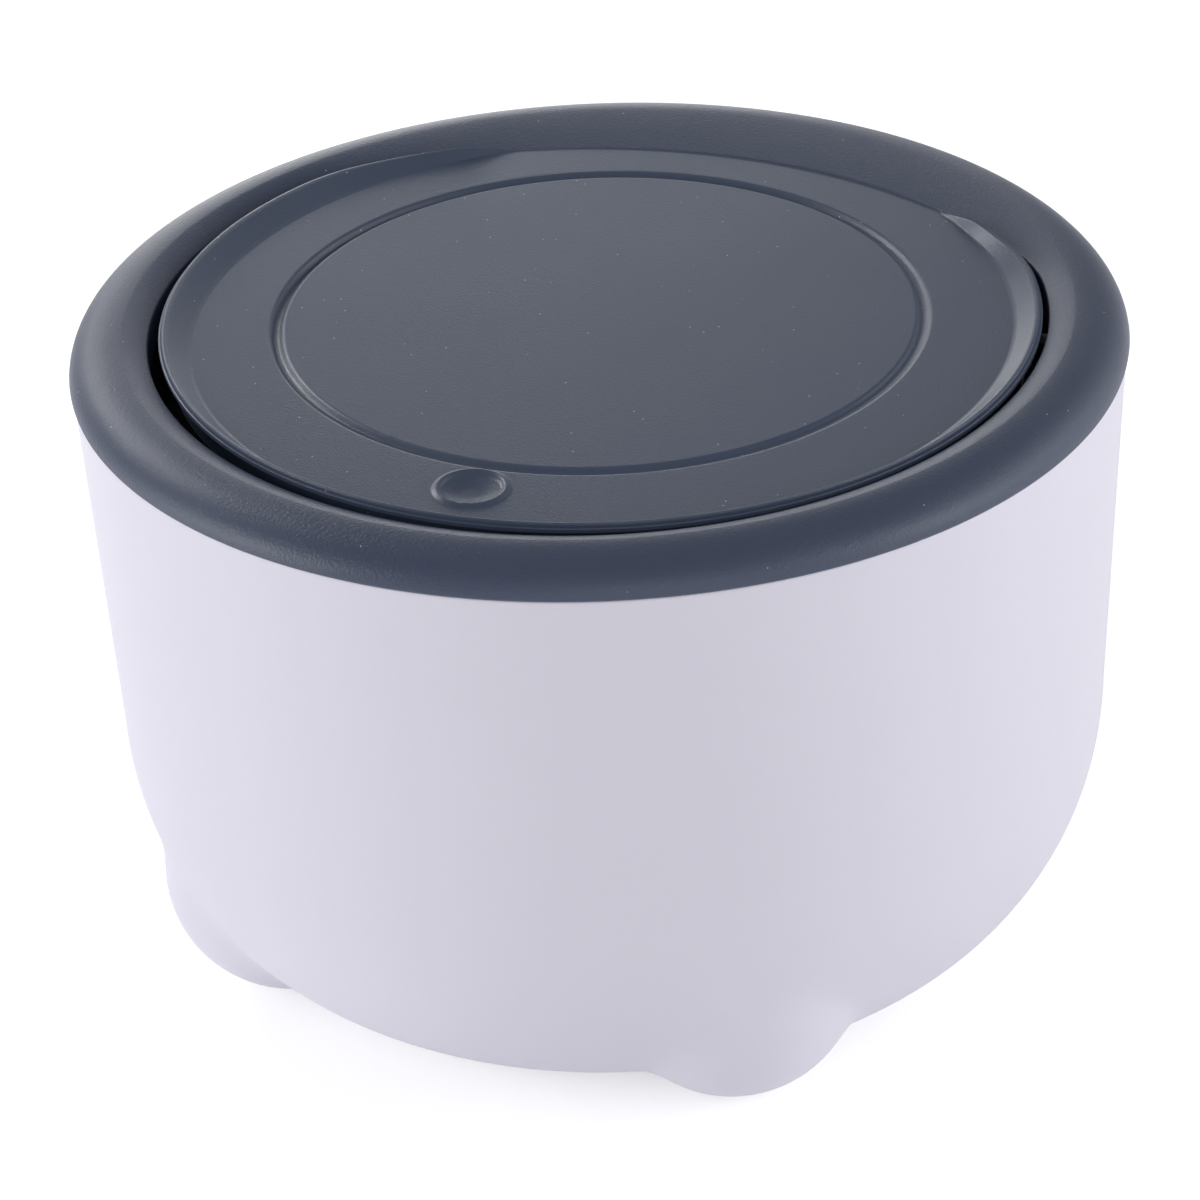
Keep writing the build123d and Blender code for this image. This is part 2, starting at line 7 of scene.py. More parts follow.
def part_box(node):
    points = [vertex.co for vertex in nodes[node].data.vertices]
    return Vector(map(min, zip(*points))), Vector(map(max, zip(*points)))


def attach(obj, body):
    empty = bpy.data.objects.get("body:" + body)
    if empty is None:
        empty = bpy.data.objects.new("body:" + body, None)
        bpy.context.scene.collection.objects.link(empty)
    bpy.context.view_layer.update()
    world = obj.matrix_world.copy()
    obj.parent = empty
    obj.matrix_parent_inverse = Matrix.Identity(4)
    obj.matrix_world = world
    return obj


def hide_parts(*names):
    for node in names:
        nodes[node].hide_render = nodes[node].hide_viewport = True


# Push top countertop bin: a pale bucket on four bulged feet under a slate lid ring, and in the ring a
# flap that pops open when its front is pressed.
# Metres in Blender, and millimetres in the sizes below, which mm() turns into metres.

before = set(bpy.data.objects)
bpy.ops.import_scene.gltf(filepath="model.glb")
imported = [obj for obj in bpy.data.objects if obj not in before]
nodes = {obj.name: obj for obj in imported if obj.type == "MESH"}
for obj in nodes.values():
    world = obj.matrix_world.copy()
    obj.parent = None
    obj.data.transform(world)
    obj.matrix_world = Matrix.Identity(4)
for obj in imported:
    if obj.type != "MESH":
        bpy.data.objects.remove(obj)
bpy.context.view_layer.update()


def mm(value):
    """A length in millimetres, as metres."""
    return value / 1000.0


# ---- places in millimetres, from the frame where it has them
rim_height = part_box("bucket")[1][2] * 1000         # bucket's rim above the table
lid_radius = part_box("lid_ring")[1][0] * 1000       # ring's outer edge
edge_drop = 4.5                                    # ring's outer edge below the flap's floor
floor_height = rim_height + edge_drop              # flap's floor above the table

# ---- ring, heights measured from the flap's floor
crest_inset = 9.5
crest_radius = lid_radius - crest_inset
crest_height = 1.9
ring_slope = 4.9                                   # crest in to the inner edge around the flap
throat_radius = crest_radius - ring_slope
throat_edge = 0.0                                  # where the ring's slope turns straight down
throat_round = 0.35
slope_bend = 1.35                                  # 1 gives a straight slope down to the inner edge
ring_wall = 2.0
skirt_bottom = -6.0
skirt_round = 0.3
hollow_drop = 1.0                                  # hollow behind the slope, below the inner edge
ring_edge_round = 0.6
lip_centre = 26.0                                  # centre of the back lip's curve, to the front
lip_radius = 95.6
lip_thickness = 0.9
lip_fold = 0.3                                     # its underside runs back within this height
lip_skin = 0.5                                     # points this far under the slope are its underside
lip_blend = 1.6                                    # softness where the lip runs into the throat
ring_boss_radius = 3.0
ring_boss_circle = 86.3
ring_boss_count = 6
ring_boss_top = 0.2
first_boss_angle = 30.0

# ---- flap
flap_gap = 1.5                                     # around the flap, to the ring's inner edge
flap_radius = throat_radius - flap_gap
flap_floor_radius = 72.7
corner_inset = 4.2
corner_radius = flap_radius - corner_inset         # where the floor turns up into the rim's slope
corner_round = 0.5
corner_middle = 73.3                               # radius of that corner in the flap's plan
corner_right = 1.5                                 # how far it is drawn out to the right
corner_front = 3.0                                 # and to the front
corner_swell = 2.0                                 # and to the front and back alike
slope_least = 2.4                                  # narrowest slope with the full rim
flap_back_gap = 0.8
flap_back_radius = lip_radius - flap_back_gap
flap_plate = 2.0
rim_rise = 1.85
rim_land = 1.1
rim_land_round = 0.3
rim_round = 0.8
rim_ledge = 0.8                                    # height of the narrow ledge on the rim's outside
rim_ledge_out = 0.3
rim_ledge_fall = 0.1
rim_ledge_round = 0.12
rim_edge = 0.0                                     # underside of the rim's thin edge
rim_edge_round = 0.2
rim_under_fall = 0.6                               # from there down to the skirt
skirt_setback = 2.4                                # skirt behind the rim's edge
seat_tilt = math.radians(0.62)                     # flap's face out of level in its loose hinge
seat_high = math.radians(148.0)                    # direction in which it stands high
seat_right = 0.4                                   # and out of the middle, to the right
seat_back = 0.3                                    # and to the back
skirt_drop = 5.0
skirt_wall = 1.4
groove_inset = 14.7
groove_radius = flap_floor_radius - groove_inset
groove_half = 1.25
groove_depth = 0.85
groove_floor_half = 0.35
groove_lip = 0.4
groove_clear = 0.5                                 # floor outside the groove that stays round
top_slack = 0.02                                   # points less than this below the floor are on top
press_inset = 6.4
press_y = press_inset - flap_floor_radius
press_bead = 5.9
press_bead_half = 0.95
press_bead_fall = 1.5                              # more makes the bead slimmer
press_rise = 0.55
press_depth = 1.1
press_dish_fall = 1.35                             # more makes the dish's side steeper
press_margin = 1.2                                 # around and under the spot, divided finely
rib_circle = 38.0
rib_width = 1.5
rib_height = 3.0
rib_sink = 0.4                                     # ribs run this far up into the floor
rib_offset = 0.01                                  # keeps the straight ribs' faces off the round one's
rib_inset = 15.7
rib_end = flap_floor_radius - rib_inset
rim_left = 0.3                                     # rim's width that is left at the back
shelf_setback = 1.9
shelf_radius = flap_radius - shelf_setback
shelf_least = 0.5                                  # narrowest shelf, at its ends
shelf_start = 12.0                                 # behind the hinge bosses
shelf_drop = 2.81

# ---- hinge and latch places
hinge_y = 16.0
hinge_drop = 3.6
hinge_boss = 3.0
hinge_pin_hole = 1.55
flap_boss_inner = 62.0
flap_boss_outer = 69.8
collar_boss_inner = 79.6
collar_boss_outer = 86.0
boss_room = 0.4                                    # clearance around the collar's hinge bosses
spring_leg_room = (69.6, 71.3, 13.8)               # inner and outer side, reach to the front
spring_room_top = -0.8
notch_past = 2.5                                   # ring's notches run this far into the throat
pin_past = 1.0                                     # pin holes run this far past the flap's bosses
cut_past = 0.1                                     # other cuts run this far past what they cut
striker_pad = (9.0, 3.7, 2.0)                      # half across, half deep, height

# ---- bucket
rim_setback = 0.5
bucket_wall = 2.2
side_lean = math.tan(math.radians(2.5))
bowl_depth = 47.0
bowl_round = 38.0
bowl_lift = 1.8
foot_radius = 23.3
foot_pad_radius = 5.5
foot_proud = 3.6
foot_half_angle = 42.6
foot_turn = -6.1
foot_blend = 1.1                                   # softness of the join, as a distance
rim_round_off = 0.5
rim_band = 0.6                                     # edges this near the top, and sharper than
rim_sharp = 0.8                                    # this angle in radians, are rounded off

# ---- how finely the pieces are divided
round_steps = 360                                  # around the ring and the flap
bucket_steps = 480                                 # around the bucket
rib_steps = 180
shelf_steps = 120
dome_steps = 18
slope_steps = 16
hollow_steps = 6
under_dome_steps = 10
floor_bands = 8                                    # between the groove and the floor's edge
bowl_floor_steps = 30
bowl_steps = 52
side_steps = 6
crease = 35                                        # degrees, edges sharper than this stay sharp


# ------------------------------------------------------------------ mesh helpers

def quarter(centre, across, up, start, steps):
    """Points along a quarter of an ellipse, from a start angle in degrees, anticlockwise."""
    angles = [math.radians(start + 90.0 * i / steps) for i in range(steps + 1)]
    return [(centre[0] + across * math.cos(a), centre[1] + up * math.sin(a)) for a in angles]


def draw_outline(bm, points, closed):
    """Edges through (radius, height) points in millimetres, in the XZ plane."""
    verts = [bm.verts.new((mm(r), 0.0, mm(z))) for r, z in points]
    pairs = list(zip(verts, verts[1:] + verts[:1])) if closed else list(zip(verts, verts[1:]))
    for a, b in pairs:
        bm.edges.new((a, b))
    return verts


def round_corners(bm, corners):
    """Rounds outline points. corners is a list of (radius, height, rounding) in millimetres."""
    for r, z, size in corners:
        bm.verts.ensure_lookup_table()
        place = Vector((mm(r), 0.0, mm(z)))
        corner = min(bm.verts, key=lambda v: (v.co - place).length)
        bmesh.ops.bevel(
            bm, geom=[corner], offset=mm(size), offset_type="OFFSET", segments=4,
            profile=0.5, affect="VERTICES", material=-1,
        )


def spin_round(bm, steps):
    """Turns the outline in the mesh a full turn about Z into a closed surface."""
    bmesh.ops.spin(
        bm, geom=bm.verts[:] + bm.edges[:], cent=(0, 0, 0), axis=(0, 0, 1), dvec=(0, 0, 0),
        angle=2 * math.pi, steps=steps, use_merge=True, use_duplicate=False,
    )
    bmesh.ops.remove_doubles(bm, verts=bm.verts[:], dist=1e-7)
    bmesh.ops.recalc_face_normals(bm, faces=bm.faces[:])


def turned(points, steps, corners=()):
    """Mesh turned from a closed outline, or from one that starts and ends on the axis."""
    bm = bmesh.new()
    on_axis = abs(points[0][0]) < 1e-9 or abs(points[-1][0]) < 1e-9
    draw_outline(bm, points, not on_axis)
    round_corners(bm, corners)
    spin_round(bm, steps)
    return bm


def lift(bm, height):
    """Moves a mesh up by a height in millimetres."""
    bmesh.ops.translate(bm, verts=bm.verts[:], vec=(0, 0, mm(height)))


def add_post(bm, radius, low, high, place, steps=48, along=None):
    """Adds a closed cylinder between two heights, or along X where along is True."""
    made = bmesh.ops.create_cone(
        bm, cap_ends=True, segments=steps, radius1=mm(radius), radius2=mm(radius),
        depth=mm(high - low),
    )["verts"]
    if along:
        bmesh.ops.rotate(bm, verts=made, matrix=Matrix.Rotation(math.pi / 2, 3, "Y"))
        bmesh.ops.translate(bm, verts=made, vec=(mm((low + high) / 2), mm(place[0]), mm(place[1])))
    else:
        bmesh.ops.translate(bm, verts=made, vec=(mm(place[0]), mm(place[1]), mm((low + high) / 2)))
    return made


def add_block(bm, x, y, z):
    """Adds a box between two values on each axis."""
    made = bmesh.ops.create_cube(bm, size=1.0)["verts"]
    sizes = [mm(pair[1] - pair[0]) for pair in (x, y, z)]
    middle = [mm((pair[0] + pair[1]) / 2) for pair in (x, y, z)]
    bmesh.ops.scale(bm, verts=made, vec=sizes)
    bmesh.ops.translate(bm, verts=made, vec=middle)
    return made


def new_piece(name, bm):
    """Object from a mesh, at the origin, in the scene."""
    mesh = bpy.data.meshes.new(name)
    bm.to_mesh(mesh)
    bm.free()
    piece = bpy.data.objects.new(name, mesh)
    bpy.context.scene.collection.objects.link(piece)
    return piece


def combine(piece, bm, operation):
    """Joins, cuts or keeps what a piece shares with another mesh."""
    tool = new_piece("tool", bm)
    change = piece.modifiers.new("change", "BOOLEAN")
    change.operation = operation
    change.solver = "EXACT"
    change.object = tool
    bpy.context.view_layer.update()
    shaped = piece.evaluated_get(bpy.context.evaluated_depsgraph_get())
    mesh = bpy.data.meshes.new_from_object(shaped)
    piece.modifiers.clear()
    old = piece.data
    piece.data = mesh
    bpy.data.meshes.remove(old)
    bpy.data.objects.remove(tool)
    mesh.name = piece.name


def finish_surface(piece, angle):
    """Smooth shading, with edges sharper than an angle in degrees left sharp."""
    for face in piece.data.polygons:
        face.use_smooth = True
    piece.data.set_sharp_from_angle(angle=math.radians(angle))
    even = piece.modifiers.new("even_shading", "WEIGHTED_NORMAL")
    even.keep_sharp = True


def smooth_step(value):
    """Runs smoothly from 0 to 1 as the value does."""
    t = min(1.0, max(0.0, value))
    return t * t * (3 - 2 * t)


# ------------------------------------------------------------------ ring

def smooth_least(first, second, blend):
    """The lesser of two values, with a soft change from one to the other."""
    share = min(1.0, max(0.0, 0.5 + 0.5 * (second - first) / blend))
    return second * (1 - share) + first * share - blend * share * (1 - share)


def plan_edge(angle, plain, back):
    """Radius at an angle of an edge that is round, and flattened at the back by the lip's curve."""
    curve = math.sqrt(back**2 - (lip_centre * math.cos(angle)) ** 2) - lip_centre * math.sin(angle)
    return smooth_least(plain, curve, lip_blend)


def ring_outline():
    """Section of the ring: low dome, slope to the inner edge, skirt and hollow underside."""
    span = crest_radius - throat_radius
    rise = crest_height - throat_edge
    lip_low = throat_edge - lip_thickness
    dome = quarter(
        (crest_radius, -edge_drop), lid_radius - crest_radius,
        crest_height + edge_drop, 0, dome_steps,
    )
    radii = [crest_radius - span * i / slope_steps for i in range(1, slope_steps + 1)]
    slope = [(radius, slope_height(radius)) for radius in radii]
    lip = [(throat_radius, lip_low), (throat_radius, lip_low - lip_fold)]
    skirt = [(throat_radius, skirt_bottom), (throat_radius + ring_wall, skirt_bottom)]
    hollow = quarter(
        (crest_radius, throat_edge - hollow_drop), span - ring_wall,
        rise + hollow_drop - ring_wall, 90, hollow_steps,
    )[::-1]
    under_dome = quarter(
        (crest_radius, -edge_drop), lid_radius - crest_radius - ring_wall,
        crest_height + edge_drop - ring_wall, 0, under_dome_steps,
    )[::-1]
    return dome + slope + lip + skirt + hollow + under_dome[1:]


def draw_in_lip(bm):
    """Draws the ring's slope in at the back, to the lip that covers the flap's shelf."""
    full = crest_radius - throat_radius
    lip_low = throat_edge - lip_thickness
    for v in bm.verts:
        radius = math.hypot(v.co.x, v.co.y) * 1000
        height = v.co.z * 1000
        top_side = radius < crest_radius + 1e-6 and height > lip_low - 1.5 * lip_fold
        under = slope_height(radius) - lip_skin > height and radius > throat_radius + 1e-3
        if not top_side or under:
            continue
        edge = plan_edge(math.atan2(v.co.y, v.co.x), throat_radius, lip_radius)
        if height < lip_low - 0.5 * lip_fold:
            edge = throat_radius
        share = (crest_radius - radius) / full
        moved = crest_radius - share * (crest_radius - edge)
        v.co.x *= moved / radius
        v.co.y *= moved / radius


def slope_height(radius):
    """Height of the ring's slope at a radius between its inner edge and its crest."""
    share = min(1.0, max(0.0, (crest_radius - radius) / (crest_radius - throat_radius)))
    return crest_height - (crest_height - throat_edge) * share**slope_bend


def make_ring():
    """The dark ring that rests on the bucket's rim."""
    corners = [
        (throat_radius, throat_edge, throat_round),
        (lid_radius, -edge_drop, ring_edge_round),
        (throat_radius, skirt_bottom, skirt_round),
        (throat_radius + ring_wall, skirt_bottom, skirt_round),
    ]
    bm = turned(ring_outline(), round_steps, corners)
    draw_in_lip(bm)
    lift(bm, floor_height)
    piece = new_piece("ring", bm)
    bosses = bmesh.new()
    for i in range(ring_boss_count):
        turn = math.radians(first_boss_angle + i * 360 / ring_boss_count)
        place = (ring_boss_circle * math.cos(turn), ring_boss_circle * math.sin(turn))
        add_post(bosses, ring_boss_radius, skirt_bottom, ring_boss_top, place, steps=40)
    lift(bosses, floor_height)
    combine(piece, bosses, "UNION")
    notches = bmesh.new()
    reach = hinge_boss + boss_room
    for side in (-1, 1):
        ends = sorted((side * (collar_boss_inner - notch_past), side * (collar_boss_outer + cut_past)))
        add_post(notches, reach, ends[0], ends[1], (hinge_y, -hinge_drop), along=True)
    lift(notches, floor_height)
    combine(piece, notches, "DIFFERENCE")
    return piece


# ------------------------------------------------------------------ flap

def flap_outline():
    """Section of the flap, from the middle of its top out to the rim and back under it."""
    groove_in = groove_radius - groove_half
    groove_out = groove_radius + groove_half
    land = flap_radius - rim_land
    skirt_out = flap_radius - skirt_setback
    skirt_in = skirt_out - skirt_wall
    plain = flap_floor_radius - groove_out
    top = [(0.0, 0.0), (groove_in / 2, 0.0), (groove_in, 0.0)]
    top += [(groove_radius - groove_floor_half, -groove_depth)]
    top += [(groove_radius + groove_floor_half, -groove_depth)]
    top += [(groove_out + plain * i / floor_bands, 0.0) for i in range(floor_bands + 1)]
    top += [(corner_radius, 0.0)]
    wall = flap_radius - rim_ledge_out
    rim = [(land, rim_rise), (wall, rim_rise), (wall, rim_ledge + rim_ledge_fall)]
    rim += [(flap_radius, rim_ledge), (flap_radius, rim_edge)]
    skirt = [(skirt_out, rim_edge - rim_under_fall), (skirt_out, -skirt_drop), (skirt_in, -skirt_drop)]
    return top + rim + skirt + [(skirt_in, -flap_plate), (0.0, -flap_plate)]


def shape_flap_plan(bm):
    """Flattens the round flap at the back, where its rim runs out along the ring's lip."""
    fixed = groove_radius + groove_half + groove_clear
    width = flap_radius - corner_radius
    for v in bm.verts:
        radius = math.hypot(v.co.x, v.co.y) * 1000
        if radius < fixed:
            continue
        angle = math.atan2(v.co.y, v.co.x)
        edge = plan_edge(angle, flap_radius, flap_back_radius)
        foot = corner_middle + corner_right * math.cos(angle)
        foot += corner_swell * math.sin(angle) ** 2 - corner_front * math.sin(angle)
        foot = min(foot, flap_radius - slope_least, edge - rim_left)
        slope_width = edge - foot
        on_top = v.co.z > mm(-top_slack)
        if on_top and radius > corner_radius:
            moved = foot + (radius - corner_radius) * slope_width / width
            v.co.z *= smooth_step(slope_width / slope_least)
        elif on_top:
            moved = fixed + (radius - fixed) * (foot - fixed) / (corner_radius - fixed)
        else:
            moved = radius - (flap_radius - edge)
        v.co.x *= moved / radius
        v.co.y *= moved / radius


def seat_face(bm):
    """Sets the flap's face a little out of level and to the right, above level hinge bosses."""
    rise = Vector((math.cos(seat_high), math.sin(seat_high), 0.0)) * math.tan(seat_tilt)
    for v in bm.verts:
        share = smooth_step((v.co.z * 1000 + flap_plate) / flap_plate)
        v.co.z += share * rise.dot(v.co)
        v.co.x += share * mm(seat_right)
        v.co.y += share * mm(seat_back)


def press_shape(distance):
    """Height of the press spot's bead and dish at a distance from its middle."""
    bead = 0.0
    off = abs(distance - press_bead) / press_bead_half
    if off < 1:
        bead = press_rise * math.cos(off * math.pi / 2) ** press_bead_fall
    dish = 0.0
    if distance < press_bead:
        dish = -press_depth * smooth_step((press_bead - distance) / press_bead * press_dish_fall)
    return bead + dish


def shape_press_spot(bm):
    """Divides the top around the press spot finely and moves it into a bead with a dish."""
    middle = Vector((0.0, mm(press_y)))
    reach = mm(press_bead + press_bead_half + press_margin)

    def near(point):
        return point.z > mm(-press_margin) and (point.xy - middle).length < reach

    edges = [e for e in bm.edges if any(near(f.calc_center_median()) for f in e.link_faces)]
    bmesh.ops.subdivide_edges(bm, edges=edges, cuts=4, use_grid_fill=True)
    for v in bm.verts:
        if v.co.z > mm(-press_margin):
            v.co.z += mm(press_shape((v.co.xy - middle).length * 1000))


def make_flap():
    """The push-top flap with its groove, press spot, shelf, ribs and hinge bosses."""
    skirt_out = flap_radius - skirt_setback
    corners = [
        (groove_radius - groove_half, 0.0, groove_lip),
        (groove_radius + groove_half, 0.0, groove_lip),
        (groove_radius - groove_floor_half, -groove_depth, groove_lip),
        (groove_radius + groove_floor_half, -groove_depth, groove_lip),
        (corner_radius, 0.0, corner_round),
        (flap_radius - rim_land, rim_rise, rim_land_round),
        (flap_radius - rim_ledge_out, rim_rise, rim_round),
        (flap_radius - rim_ledge_out, rim_ledge + rim_ledge_fall, rim_ledge_fall),
        (flap_radius, rim_ledge, rim_ledge_round),
        (flap_radius, rim_edge, rim_edge_round),
        (skirt_out, -skirt_drop, skirt_round),
        (skirt_out - skirt_wall, -skirt_drop, skirt_round),
    ]
    bm = turned(flap_outline(), round_steps, corners)
    shape_flap_plan(bm)
    shape_press_spot(bm)
    seat_face(bm)
    piece = new_piece("flap", bm)
    combine(piece, back_shelf(), "UNION")
    combine(piece, flap_ribs(), "UNION")
    combine(piece, flap_bosses(), "UNION")
    for pocket in hinge_pockets():
        combine(piece, pocket, "DIFFERENCE")
    piece.data.transform(Matrix.Translation((0, 0, mm(floor_height))))
    return piece


def back_shelf():
    """Shelf behind the flap's floor that runs on under the back lip."""
    bm = bmesh.new()
    low = -shelf_drop - flap_plate
    inside, outside = 1.0, 2.0
    corners = [(inside, -shelf_drop), (outside, -shelf_drop), (outside, low), (inside, low)]
    draw_outline(bm, corners, True)
    bmesh.ops.contextual_create(bm, geom=bm.edges[:])
    start = math.asin((hinge_y + hinge_boss + shelf_start) / shelf_radius)
    bmesh.ops.rotate(bm, verts=bm.verts[:], matrix=Matrix.Rotation(start, 3, "Z"))
    bmesh.ops.spin(
        bm, geom=bm.verts[:] + bm.edges[:] + bm.faces[:], cent=(0, 0, 0), axis=(0, 0, 1),
        dvec=(0, 0, 0), angle=math.pi - 2 * start, steps=shelf_steps,
        use_merge=False, use_duplicate=False,
    )
    for v in bm.verts:
        radius = math.hypot(v.co.x, v.co.y) * 1000
        inner = plan_edge(math.atan2(v.co.y, v.co.x), flap_radius, flap_back_radius)
        inner -= skirt_setback + skirt_wall / 2
        moved = inner if radius < (inside + outside) / 2 else max(shelf_radius, inner + shelf_least)
        v.co.x *= moved / radius
        v.co.y *= moved / radius
    bmesh.ops.recalc_face_normals(bm, faces=bm.faces[:])
    return bm


def flap_ribs():
    """Round rib under the floor."""
    low = -flap_plate - rib_height
    top = -flap_plate + rib_sink
    outer = rib_circle + rib_width
    return turned([(rib_circle, low), (outer, low), (outer, top), (rib_circle, top)], rib_steps)


def flap_bosses():
    """Four straight ribs, the striker's pad and the hinge bosses under the floor."""
    bm = bmesh.new()
    low = -flap_plate - rib_height
    start = rib_circle + rib_width / 2
    top = -flap_plate + rib_sink
    heights = (low + rib_offset, top + rib_offset)
    for turn in range(4):
        made = add_block(bm, (start, rib_end), (-rib_width / 2, rib_width / 2), heights)
        bmesh.ops.rotate(bm, verts=made, matrix=Matrix.Rotation(turn * math.pi / 2, 3, "Z"))
    half_x, half_y, pad = striker_pad
    add_block(bm, (-half_x, half_x), (press_y - half_y, press_y + half_y), (-flap_plate - pad, top))
    for side in (-1, 1):
        ends = sorted((side * flap_boss_inner, side * flap_boss_outer))
        made = add_post(bm, hinge_boss, ends[0], ends[1], (hinge_y, -hinge_drop), along=True)
        for v in made:
            if v.co.z > mm(-hinge_drop):
                v.co.z = mm(top)
                v.co.y = mm(hinge_y + math.copysign(hinge_boss, v.co.y - mm(hinge_y)))
    return bm


def hinge_pockets():
    """Room for the hinge springs' coils, for their legs and for the pins, as three cutters."""
    coils, legs, pins = bmesh.new(), bmesh.new(), bmesh.new()
    leg_in, leg_out, leg_reach = spring_leg_room
    for side in (-1, 1):
        coil = sorted((side * (flap_boss_outer + cut_past), side * lid_radius))
        add_post(coils, hinge_boss, coil[0], coil[1], (hinge_y, -hinge_drop), along=True)
        leg = sorted((side * leg_in, side * leg_out))
        add_block(legs, leg, (hinge_y - leg_reach, hinge_y), (-hinge_drop, spring_room_top))
        pin = sorted((side * (flap_boss_inner - pin_past), side * (flap_boss_outer + pin_past)))
        add_post(
            pins, hinge_pin_hole, pin[0], pin[1], (hinge_y, -hinge_drop), steps=32, along=True,
        )
    return coils, legs, pins


# ------------------------------------------------------------------ bucket

def side_radius(height):
    """Outside radius of the bucket's straight side."""
    return lid_radius - rim_setback - side_lean * (rim_height - height)


bowl_top = bowl_lift + bowl_depth
bowl_flat = lid_radius - rim_setback - bowl_round
bowl_across = side_radius(bowl_top) - bowl_flat
foot_centre_height = math.sqrt(foot_radius**2 - foot_pad_radius**2)
foot_centre_radius = (
    bowl_flat + bowl_across * math.sqrt(1 - ((bowl_top - foot_centre_height) / bowl_depth) ** 2)
    + foot_proud - foot_radius
)
foot_places = [
    Vector((
        foot_centre_radius * math.cos(math.radians(middle + side * foot_half_angle + foot_turn)),
        foot_centre_radius * math.sin(math.radians(middle + side * foot_half_angle + foot_turn)),
        foot_centre_height,
    ))
    for middle in (-90, 90) for side in (-1, 1)
]


def bucket_outline():
    """Outside of the bucket from the middle of its floor to the rim."""
    floor = [(bowl_flat * i / bowl_floor_steps, bowl_lift) for i in range(bowl_floor_steps)]
    bowl = quarter((bowl_flat, bowl_top), bowl_across, bowl_depth, 270, bowl_steps)
    rise = rim_height - bowl_top
    heights = [bowl_top + rise * i / side_steps for i in range(1, side_steps + 1)]
    return floor + bowl + [(side_radius(height), height) for height in heights]


def foot_push(point, outward):
    """How far a point of the bowl moves out to lie on the bowl and its feet, softly joined."""
    best = 0.0
    for centre in foot_places:
        offset = point - centre
        along = offset.dot(outward)
        room = foot_radius**2 - (offset.length_squared - along**2)
        if room <= 0:
            continue
        proud = math.sqrt(room) - along
        share = max(0.0, foot_blend * 2 - abs(proud)) / (foot_blend * 2)
        best = max(best, max(proud, 0.0) + share * share * foot_blend / 2)
    return best


def make_bucket():
    """The pale bucket: bowl, straight side and four hollow feet in one shell."""
    bm = bmesh.new()
    draw_outline(bm, bucket_outline(), False)
    spin_round(bm, bucket_steps)
    for face in bm.faces:
        if face.normal.dot(face.calc_center_median() - Vector((0, 0, mm(rim_height)))) < 0:
            face.normal_flip()
    bm.normal_update()
    moves = []
    for v in bm.verts:
        if v.co.z < mm(bowl_top):
            moves.append((v, v.normal.copy(), foot_push(v.co * 1000, v.normal)))
    for v, outward, push in moves:
        v.co += outward * mm(push)
        v.co.z = max(v.co.z, 0.0)
    bm.normal_update()
    bmesh.ops.solidify(bm, geom=bm.faces[:], thickness=mm(bucket_wall))
    rim = [
        e for e in bm.edges
        if all(v.co.z > mm(rim_height - rim_band) for v in e.verts)
        and e.calc_face_angle(0) > rim_sharp
    ]
    bmesh.ops.bevel(
        bm, geom=rim, offset=mm(rim_round_off), offset_type="OFFSET", segments=3,
        profile=0.5, affect="EDGES", material=-1, clamp_overlap=True,
    )
    return new_piece("pail", bm)


# ------------------------------------------------------------------ finishes

broad_share = 0.012                                # coarse drift, as a share of the grain's scale
grain_strength = 0.6
lint_scale = 400.0
lint_size = 0.065
lint_colour = (0.40, 0.42, 0.46)
line_scale = 1400.0                                # fine lines on steel
line_strength = 0.4
line_depth = 0.02


def link_nodes(tree, pairs):
    """Joins sockets of a node tree."""
    for start, end in pairs:
        tree.links.new(start, end)


def add_node(tree, kind, **values):
    """Adds a shader node and sets its plain properties."""
    node = tree.nodes.new(kind)
    for name, value in values.items():
        setattr(node, name, value)
    return node


def moulded_grain():
    """Group: the fine spark-eroded grain of a mould, as a height and as a change in gloss."""
    tree = bpy.data.node_groups.new("moulded_grain", "ShaderNodeTree")
    face = tree.interface
    face.new_socket("Vector", in_out="INPUT", socket_type="NodeSocketVector")
    face.new_socket("Scale", in_out="INPUT", socket_type="NodeSocketFloat")
    face.new_socket("Height", in_out="OUTPUT", socket_type="NodeSocketFloat")
    face.new_socket("Gloss", in_out="OUTPUT", socket_type="NodeSocketFloat")
    start = add_node(tree, "NodeGroupInput")
    end = add_node(tree, "NodeGroupOutput")
    fine = add_node(tree, "ShaderNodeTexNoise")
    fine.inputs["Detail"].default_value = 4.0
    fine.inputs["Roughness"].default_value = 0.6
    broad = add_node(tree, "ShaderNodeTexNoise")
    broad.inputs["Detail"].default_value = 3.0
    coarser = add_node(tree, "ShaderNodeMath", operation="MULTIPLY")
    coarser.inputs[1].default_value = broad_share
    link_nodes(tree, [
        (start.outputs["Vector"], fine.inputs["Vector"]),
        (start.outputs["Scale"], fine.inputs["Scale"]),
        (start.outputs["Vector"], broad.inputs["Vector"]),
        (start.outputs["Scale"], coarser.inputs[0]),
        (coarser.outputs[0], broad.inputs["Scale"]),
        (fine.outputs["Fac"], end.inputs["Height"]),
        (broad.outputs["Fac"], end.inputs["Gloss"]),
    ])
    return tree


